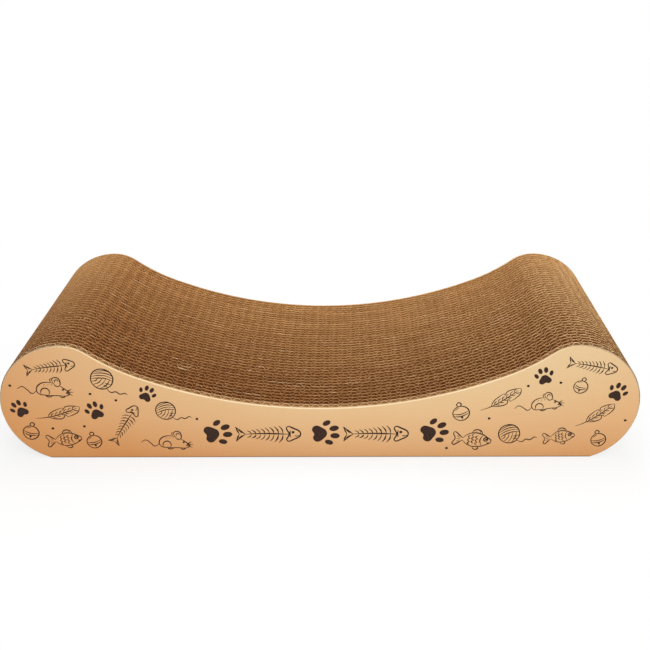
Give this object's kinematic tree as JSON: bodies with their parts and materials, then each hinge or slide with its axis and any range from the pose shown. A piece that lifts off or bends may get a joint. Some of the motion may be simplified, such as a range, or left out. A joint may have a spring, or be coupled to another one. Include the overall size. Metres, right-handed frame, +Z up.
{
  "type": "cat scratcher",
  "caption": "Concave lounge scratcher for cats: upright corrugated board plies glued into a block with raised round ends and a long hollow, between printed kraft side panels.",
  "frame": {"origin": "middle of the flat base, on the surface that the scratcher stands on", "axes": "+X along the length, +Z up out of the hollow, -Y out of the front side panel"},
  "size_m": [0.54, 0.225, 0.106],
  "materials": {
    "printed_kraft": "matte",
    "backing_kraft": "matte",
    "fluted_kraft": "matte",
    "brown_ink": "matte"
  },
  "bodies": {
    "root": {"front_panel": "printed_kraft", "front_backing_ply": "backing_kraft", "core_ply_01": "fluted_kraft", "core_ply_02": "fluted_kraft", "core_ply_03": "fluted_kraft", "core_ply_04": "fluted_kraft", "core_ply_05": "fluted_kraft", "core_ply_06": "fluted_kraft", "core_ply_07": "fluted_kraft", "core_ply_08": "fluted_kraft", "core_ply_09": "fluted_kraft", "core_ply_10": "fluted_kraft", "core_ply_11": "fluted_kraft", "core_ply_12": "fluted_kraft", "core_ply_13": "fluted_kraft", "core_ply_14": "fluted_kraft", "core_ply_15": "fluted_kraft", "core_ply_16": "fluted_kraft", "core_ply_17": "fluted_kraft", "core_ply_18": "fluted_kraft", "core_ply_19": "fluted_kraft", "core_ply_20": "fluted_kraft", "core_ply_21": "fluted_kraft", "core_ply_22": "fluted_kraft", "core_ply_23": "fluted_kraft", "core_ply_24": "fluted_kraft", "core_ply_25": "fluted_kraft", "core_ply_26": "fluted_kraft", "core_ply_27": "fluted_kraft", "core_ply_28": "fluted_kraft", "core_ply_29": "fluted_kraft", "core_ply_30": "fluted_kraft", "core_ply_31": "fluted_kraft", "core_ply_32": "fluted_kraft", "core_ply_33": "fluted_kraft", "core_ply_34": "fluted_kraft", "core_ply_35": "fluted_kraft", "core_ply_36": "fluted_kraft", "core_ply_37": "fluted_kraft", "core_ply_38": "fluted_kraft", "core_ply_39": "fluted_kraft", "back_backing_ply": "backing_kraft", "back_panel": "printed_kraft"}
  },
  "joints": []
}
